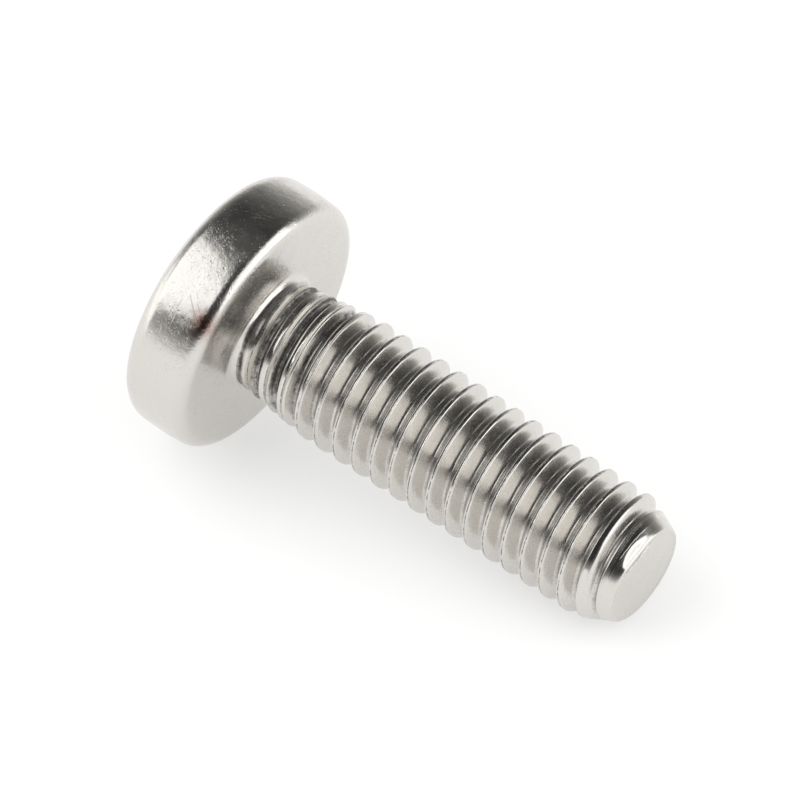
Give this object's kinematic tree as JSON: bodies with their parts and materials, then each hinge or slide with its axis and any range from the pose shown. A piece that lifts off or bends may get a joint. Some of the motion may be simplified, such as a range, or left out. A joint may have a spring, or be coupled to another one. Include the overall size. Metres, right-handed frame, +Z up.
{
  "type": "machine screw",
  "caption": "Pan-head machine screw with a cross recess in its domed head, a thread run-out under the head and a right-hand metric thread to a chamfered tip, lying on its side.",
  "frame": {"origin": "on the surface that the screw lies on, under the middle of its length", "axes": "+X along the screw from head to tip as seen from above, +Z up; the screw's own axis dips 9.0 degrees below +X, because it rests on the rim of its head and on the last full turn of its thread"},
  "size_m": [0.0198, 0.0096, 0.0097],
  "materials": {
    "steel": "gloss"
  },
  "bodies": {
    "root": {"screw": "steel"}
  },
  "joints": []
}
